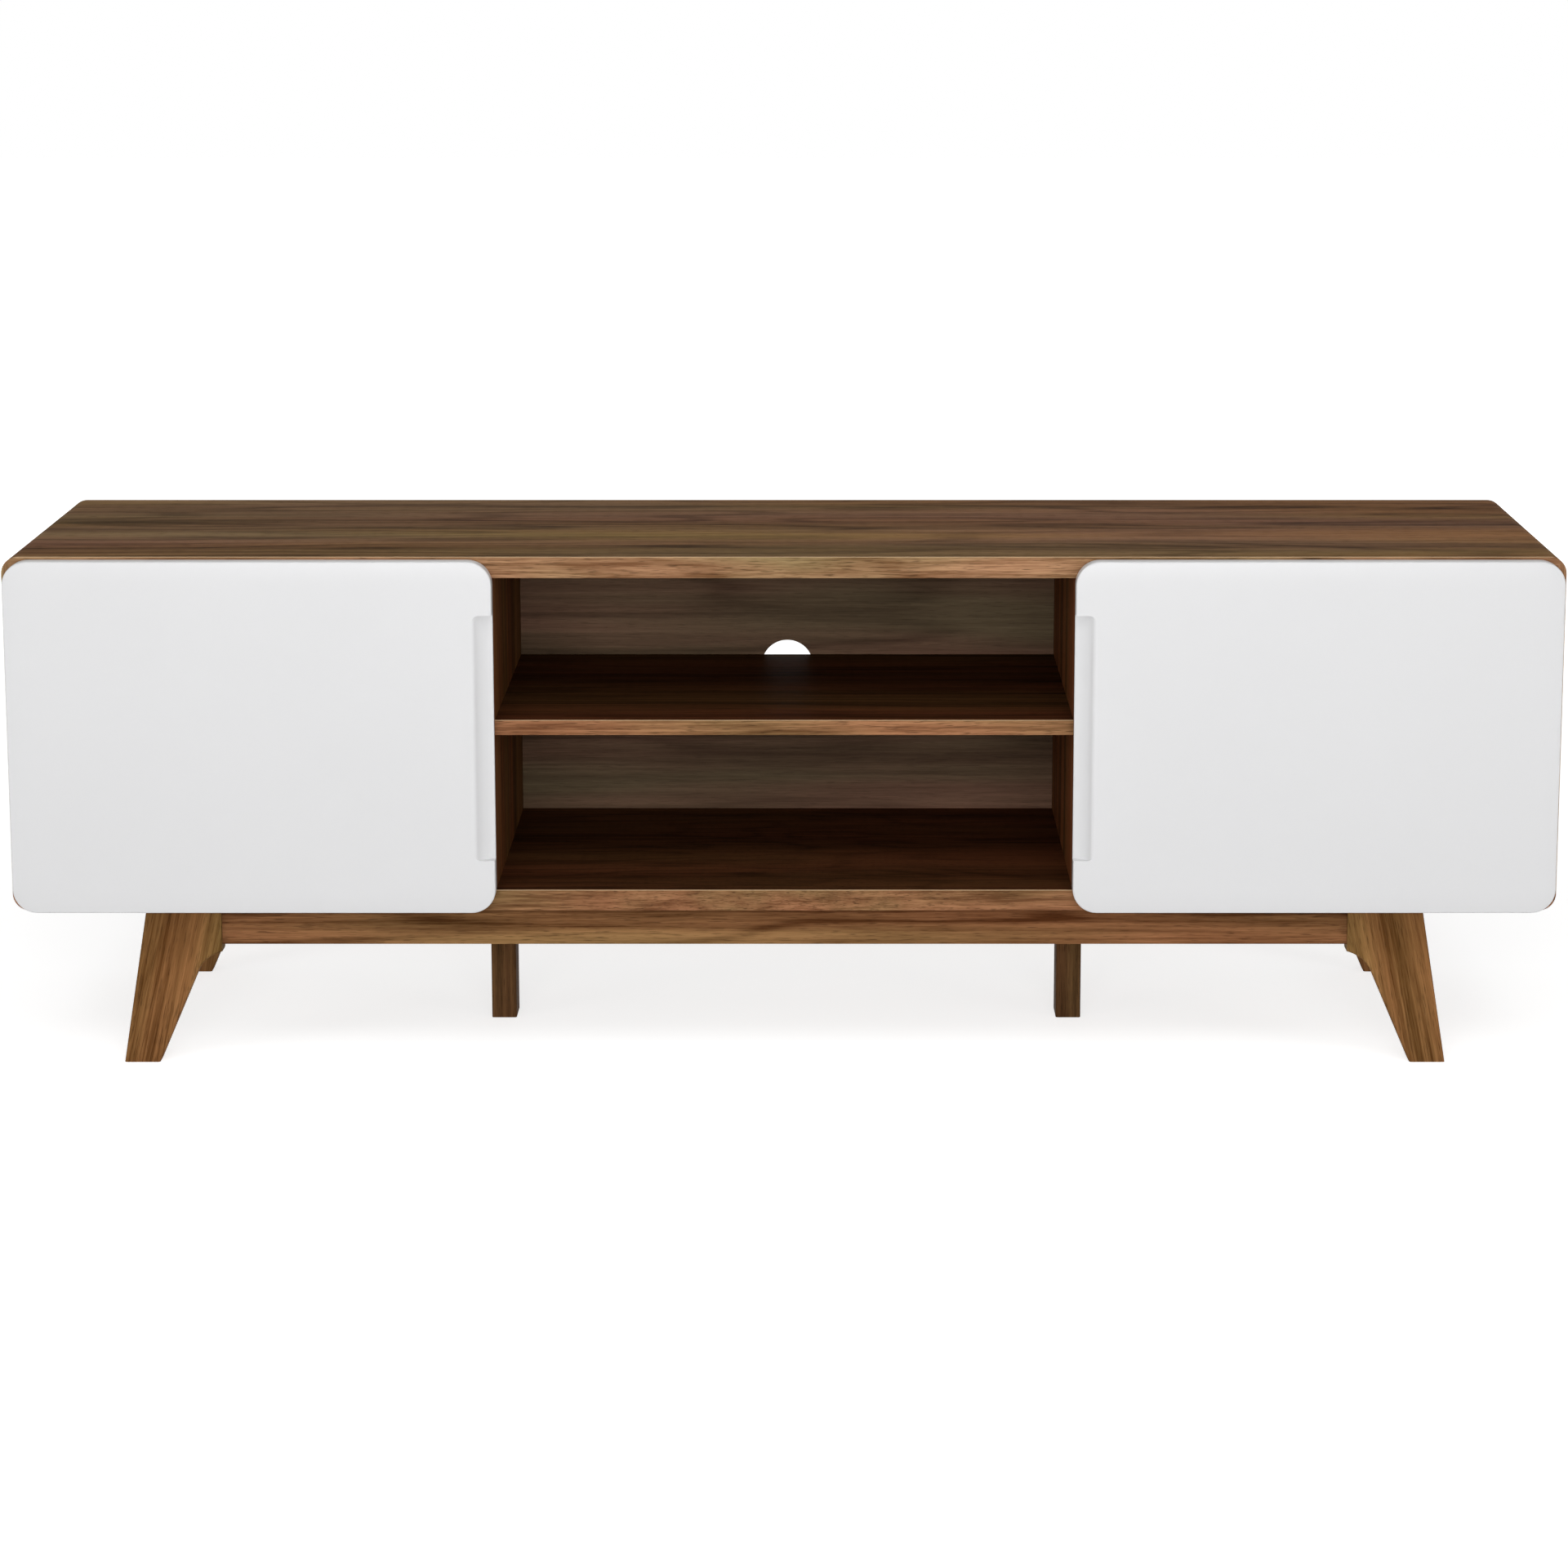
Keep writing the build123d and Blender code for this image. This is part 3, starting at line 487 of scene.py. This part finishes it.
def dress_doors_and_fittings():
    finish_part(white_lacquer(), *both("door"))
    nickel = plated_steel("nickel_plate", tone(206, 203, 196), 0.26)
    finish_part(nickel, *both("hinge_cups"), *both("hinge_arms"), *both("hinge_plates"))
    finish_part(nickel, *both("hinge_pins"), *both("inner_shelf_pins"))
    finish_part(plated_steel("zinc_plate", tone(190, 190, 186), 0.38), "cam_bolts", "centre_leg_bolts")
    finish_part(bare_beech(), "upright_dowels", "shelf_dowels", "base_dowels")
    finish_part(soft_pad(), "door_bumpers")


# ---------------------------------------------------------------- screws and cams
def screw_sizes(head_radius, head_height, shank_radius):
    """Sizes of one kind of screw, given in millimetres."""
    names = "Head radius", "Head height", "Shank radius"
    return {name: size * MILLIMETRE for name, size in zip(names, (head_radius, head_height, shank_radius))}


BACK_SCREW = screw_sizes(5.0, 1.5, 1.5)
BASE_SCREW = screw_sizes(4.5, 3.0, 2.5)
HINGE_SCREW = screw_sizes(3.5, 0.9, 1.75)


def islands(node):
    """Lowest and highest corners of each separate solid in a CAD node, from left to right."""
    mesh = bmesh.new()
    mesh.from_mesh(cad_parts[node].data)
    bmesh.ops.remove_doubles(mesh, verts=mesh.verts, dist=0.01 * MILLIMETRE)
    waiting, boxes = set(mesh.verts), []
    while waiting:
        front, solid = [waiting.pop()], []
        while front:
            vertex = front.pop()
            solid.append(vertex.co.copy())
            linked = {edge.other_vert(vertex) for edge in vertex.link_edges} & waiting
            waiting -= linked
            front.extend(linked)
        low = Vector(min(point[i] for point in solid) for i in range(3))
        high = Vector(max(point[i] for point in solid) for i in range(3))
        boxes.append((low, high))
    mesh.free()
    return sorted(boxes, key=lambda box: tuple(box[0]))


class Tree:
    """Geometry Nodes tree with named sizes, which puts one piece at every point."""

    def __init__(self, name, sizes):
        self.group = bpy.data.node_groups.new(name, "GeometryNodeTree")
        face = self.group.interface
        face.new_socket("Geometry", in_out="INPUT", socket_type="NodeSocketGeometry")
        face.new_socket("Geometry", in_out="OUTPUT", socket_type="NodeSocketGeometry")
        for size, kind in sizes.items():
            face.new_socket(size, in_out="INPUT", socket_type="NodeSocket" + kind)
        self.size = self.group.nodes.new("NodeGroupInput").outputs
        self.exit = self.group.nodes.new("NodeGroupOutput")

    def node(self, kind, settings=None, sockets=None):
        made = self.group.nodes.new(kind)
        for name, value in (settings or {}).items():
            setattr(made, name, value)
        for key, value in (sockets or {}).items():
            if isinstance(value, bpy.types.NodeSocket):
                self.group.links.new(value, made.inputs[key])
            elif isinstance(value, list):
                for one in value:
                    self.group.links.new(one, made.inputs[key])
            else:
                made.inputs[key].default_value = value
        return made.outputs

    def maths(self, operation, first, second):
        return self.node("ShaderNodeMath", {"operation": operation}, {0: first, 1: second})[0]

    def times(self, size, share):
        return self.maths("MULTIPLY", size, share)

    def sizes(self, x, y, z):
        return self.node("ShaderNodeCombineXYZ", None, {"X": x, "Y": y, "Z": z})[0]

    def shape(self, kind, sockets):
        return self.node("GeometryNodeMesh" + kind, None, sockets)["Mesh"]

    def moved(self, geometry, change, amount):
        return self.node("GeometryNodeTransform", None, {"Geometry": geometry, change: amount})["Geometry"]

    def raised(self, geometry, height):
        return self.moved(geometry, "Translation", self.sizes(0.0, 0.0, height))

    def rod(self, vertices, radius, depth, centre):
        """Upright cylinder whose middle is at a height."""
        bar = self.shape("Cylinder", {"Vertices": vertices, "Radius": radius, "Depth": depth})
        return self.raised(bar, centre)

    def cross(self, length, width, depth):
        """Two bars that cross, one a little shallower, so that no faces of theirs lie in one plane."""
        extents = self.sizes(length, width, depth), self.sizes(width, length, self.times(depth, 0.96))
        return [self.shape("Cube", {"Size": extent}) for extent in extents]

    def without(self, whole, tools):
        sockets = {"Mesh 1": whole, "Mesh 2": tools}
        return self.node("GeometryNodeMeshBoolean", {"operation": "DIFFERENCE"}, sockets)["Mesh"]

    def close(self, piece, turn):
        """End the tree with real, flat-shaded copies of the piece in its material."""
        sockets = {"Points": self.size["Geometry"], "Instance": piece, "Rotation": turn}
        copies = self.node("GeometryNodeInstanceOnPoints", None, sockets)["Instances"]
        real = self.node("GeometryNodeRealizeInstances", None, {"Geometry": copies})["Geometry"]
        sockets = {"Geometry": real, "Shade Smooth": False}
        flat = self.node("GeometryNodeSetShadeSmooth", None, sockets)["Geometry"]
        sockets = {"Geometry": flat, "Material": self.size["Finish"]}
        done = self.node("GeometryNodeSetMaterial", None, sockets)["Geometry"]
        self.group.links.new(done, self.exit.inputs["Geometry"])
        return self.group


def cross_head_tree():
    """Domed screw head with a cross recess, on a plain shank."""
    kinds = dict.fromkeys(("Head radius", "Head height", "Shank radius", "Shank length"), "Float")
    tree = Tree("cross_head_screws", {**kinds, "Facing": "Rotation", "Finish": "Material"})
    radius, height, length = (tree.size[name] for name in ("Head radius", "Head height", "Shank length"))
    ball = tree.shape("UVSphere", {"Segments": 24, "Rings": 14, "Radius": radius})
    dome = tree.moved(ball, "Scale", tree.sizes(1.0, 1.0, tree.maths("DIVIDE", height, radius)))
    double = tree.times(radius, 2.4)
    block = tree.shape("Cube", {"Size": tree.sizes(double, double, radius)})
    under = tree.raised(block, tree.times(radius, -0.5))
    bars = tree.cross(tree.times(radius, 1.05), tree.times(radius, 0.2), tree.times(height, 1.2))
    head = tree.without(dome, [under, *(tree.raised(bar, height) for bar in bars)])
    shank = tree.rod(16, tree.size["Shank radius"], length, tree.times(length, -0.5))
    screw = tree.node("GeometryNodeJoinGeometry", None, {"Geometry": [head, shank]})["Geometry"]
    return tree.close(screw, tree.size["Facing"])


def cam_tree():
    """Turned cam with a cross recess and a ring in its face, which faces the point's way along x."""
    tree = Tree("cams", {"Radius": "Float", "Depth": "Float", "Finish": "Material"})
    radius, depth = tree.size["Radius"], tree.size["Depth"]

    def part(share):
        return tree.times(radius, share)

    body = tree.rod(48, radius, depth, tree.times(depth, -0.5))
    outer, inner = tree.rod(48, part(0.86), part(0.12), 0.0), tree.rod(48, part(0.78), part(0.24), 0.0)
    ring = tree.without(outer, [inner])
    cam = tree.without(body, [ring, *tree.cross(part(1.1), part(0.2), part(0.8))])
    way = tree.node("GeometryNodeInputNamedAttribute", {"data_type": "FLOAT"}, {"Name": "way"})["Attribute"]
    turn = tree.sizes(0.0, tree.times(way, pi / 2), 0.0)
    return tree.close(cam, tree.node("FunctionNodeEulerToRotation", None, {"Euler": turn})["Rotation"])


def repeated(name, group, points, sizes, body, replaced, ways=()):
    """Plain mesh of a tree's result at the given points, each of which may face one way or the other."""
    cloud = bpy.data.meshes.new(name + "_points")
    cloud.from_pydata(points, [], [])
    if ways:
        cloud.attributes.new("way", "FLOAT", "POINT").data.foreach_set("value", ways)
    carrier = bpy.data.objects.new(name + "_points", cloud)
    bpy.context.scene.collection.objects.link(carrier)
    modifier = carrier.modifiers.new("repeat", "NODES")
    modifier.node_group = group
    for item in group.interface.items_tree:
        if item.in_out == "INPUT" and item.name in sizes:
            modifier[item.identifier] = sizes[item.name]
    evaluated = carrier.evaluated_get(bpy.context.evaluated_depsgraph_get())
    mesh = bpy.data.meshes.new_from_object(evaluated)
    bpy.data.objects.remove(carrier)
    piece = bpy.data.objects.new(name, mesh)
    bpy.context.scene.collection.objects.link(piece)
    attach(piece, body)
    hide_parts(replaced)


def screws(node, body, direction, kind, finish, group):
    """Detailed screws in place of a node's plain ones; direction is the way their heads face."""
    axis = max(range(3), key=lambda i: abs(direction[i]))
    outwards, head_height = direction[axis], kind["Head height"]
    seats, length = [], 0.0
    for low, high in islands(node):
        seat = (low + high) / 2
        seat[axis] = (high[axis] if outwards > 0 else low[axis]) - outwards * head_height
        seats.append(seat)
        length = (high - low)[axis] - head_height
    facing = tuple(Vector(direction).to_track_quat("Z", "Y").to_euler())
    sizes = {**kind, "Shank length": length, "Facing": facing, "Finish": finish}
    repeated("cross_head_" + node, group, seats, sizes, body, node)


def drive_screws():
    zinc = plated_steel("zinc_screws", tone(196, 194, 186), 0.32)
    group = cross_head_tree()
    screws("back_panel_screws", "case", (0, 1, 0), BACK_SCREW, zinc, group)
    screws("base_screws", "case", (0, 0, -1), BASE_SCREW, zinc, group)
    for side, inwards in (("left", 1), ("right", -1)):
        screws(f"{side}_hinge_cup_screws", f"{side}_door", (0, 1, 0), HINGE_SCREW, zinc, group)
        screws(f"{side}_hinge_plate_screws", "case", (inwards, 0, 0), HINGE_SCREW, zinc, group)


def set_cams():
    """Cam locks, facing into the compartments behind the doors."""
    divider_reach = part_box("right_divider")[1][0]
    faces, ways, size = [], [], None
    for low, high in islands("cam_locks"):
        centre, size = (low + high) / 2, high - low
        in_side = abs(centre.x) > divider_reach
        way = -1.0 if in_side == (centre.x > 0) else 1.0
        centre.x = high.x if way > 0 else low.x
        faces.append(centre)
        ways.append(way)
    casting = plated_steel("zinc_casting", tone(168, 168, 168), 0.42)
    sizes = {"Radius": size.y / 2, "Depth": size.x, "Finish": casting}
    repeated("turned_cams", cam_tree(), faces, sizes, "case", "cam_locks", ways)


# ---------------------------------------------------------------- studio
CAMERA_PLACE = (0.045, -3.9945, 1.3413)
CAMERA_TILT = 8.70  # degrees below level
CAMERA_LENS = 78.1
CAMERA_SHIFT = (-0.025, -0.23)
SENSOR_WIDTH = 36.0
FILL = 0.22  # plain light from all round
FLOOR_REACH = 14.0
FLOOR_GLOW = 1.0, 3.0, 0.70, 1.0  # distances out from the cabinet, and how white the floor looks at each


def seen_directly(graph):
    """1 for the rays of the eye, of reflections and of clear things; 0 for the light on the object."""
    seen = graph.node("LightPath", out="Is Camera Ray")
    for kind in ("Is Glossy Ray", "Is Transmission Ray"):
        seen = seen.at_least(graph.node("LightPath", out=kind))
    return seen


def studio_floor():
    """Pale floor that looks white where nothing shades it."""
    mesh = bpy.data.meshes.new("studio_floor")
    turns = (-1, -1), (1, -1), (1, 1), (-1, 1)
    mesh.from_pydata([(x * FLOOR_REACH, y * FLOOR_REACH, 0) for x, y in turns], [], [(0, 1, 2, 3)])
    floor = bpy.data.objects.new("studio_floor", mesh)
    bpy.context.scene.collection.objects.link(floor)
    graph = material("pale_floor")
    x, y = graph.axis(X), graph.axis(Y)
    glow = seen_directly(graph) * (x * x + y * y).root().fit(*FLOOR_GLOW)
    matt = graph.node("BsdfDiffuse", None, {"Color": (0.8, 0.8, 0.8, 1)})
    lit = graph.node("Emission", None, {"Color": (1, 1, 1, 1), "Strength": glow})
    mesh.materials.append(graph.surface(graph.node("AddShader", None, {0: matt, 1: lit})))


def studio_world():
    """White surroundings for the eye, and a plain fill for the object."""
    graph = Graph(bpy.data.worlds.new("studio"))
    strength = seen_directly(graph).fit(0.0, 1.0, FILL, 1.0)
    light = graph.node("Background", None, {"Color": (1, 1, 1, 1), "Strength": strength})
    bpy.context.scene.world = graph.surface(light, "World")


def softbox(name, place, target, size, power):
    light = bpy.data.lights.new(name, "AREA")
    light.shape, light.size, light.size_y, light.energy = "RECTANGLE", size[0], size[1], power
    lamp = bpy.data.objects.new(name, light)
    lamp.location = place
    lamp.rotation_euler = (Vector(target) - Vector(place)).to_track_quat("-Z", "Y").to_euler()
    bpy.context.scene.collection.objects.link(lamp)


def studio_lights():
    softbox("front_softbox", (0.0, -4.3, 1.25), (0, 0, 0.35), (3.2, 1.8), 75)
    softbox("high_softbox", (0.0, -2.0, 3.0), (0, 0, 0.4), (3.4, 1.4), 29)
    softbox("rear_softbox", (0.0, 3.6, 0.3), (0, 0, 0.4), (3.2, 0.5), 28)
    for side in (-1, 1):
        softbox("side_softbox", (side * 4.0, -2.4, 1.2), (0, 0, 0.35), (1.4, 2.0), 25)


def studio_camera():
    data = bpy.data.cameras.new("camera")
    data.lens, data.sensor_width = CAMERA_LENS, SENSOR_WIDTH
    data.shift_x, data.shift_y = CAMERA_SHIFT
    camera = bpy.data.objects.new("camera", data)
    camera.location = CAMERA_PLACE
    camera.rotation_euler = (radians(90 - CAMERA_TILT), 0, 0)
    bpy.context.scene.collection.objects.link(camera)
    bpy.context.scene.camera = camera


bpy.context.scene.view_settings.view_transform = "Standard"
studio_camera()
studio_floor()
studio_world()
studio_lights()
dress_case()
dress_base()
dress_doors_and_fittings()
drive_screws()
set_cams()
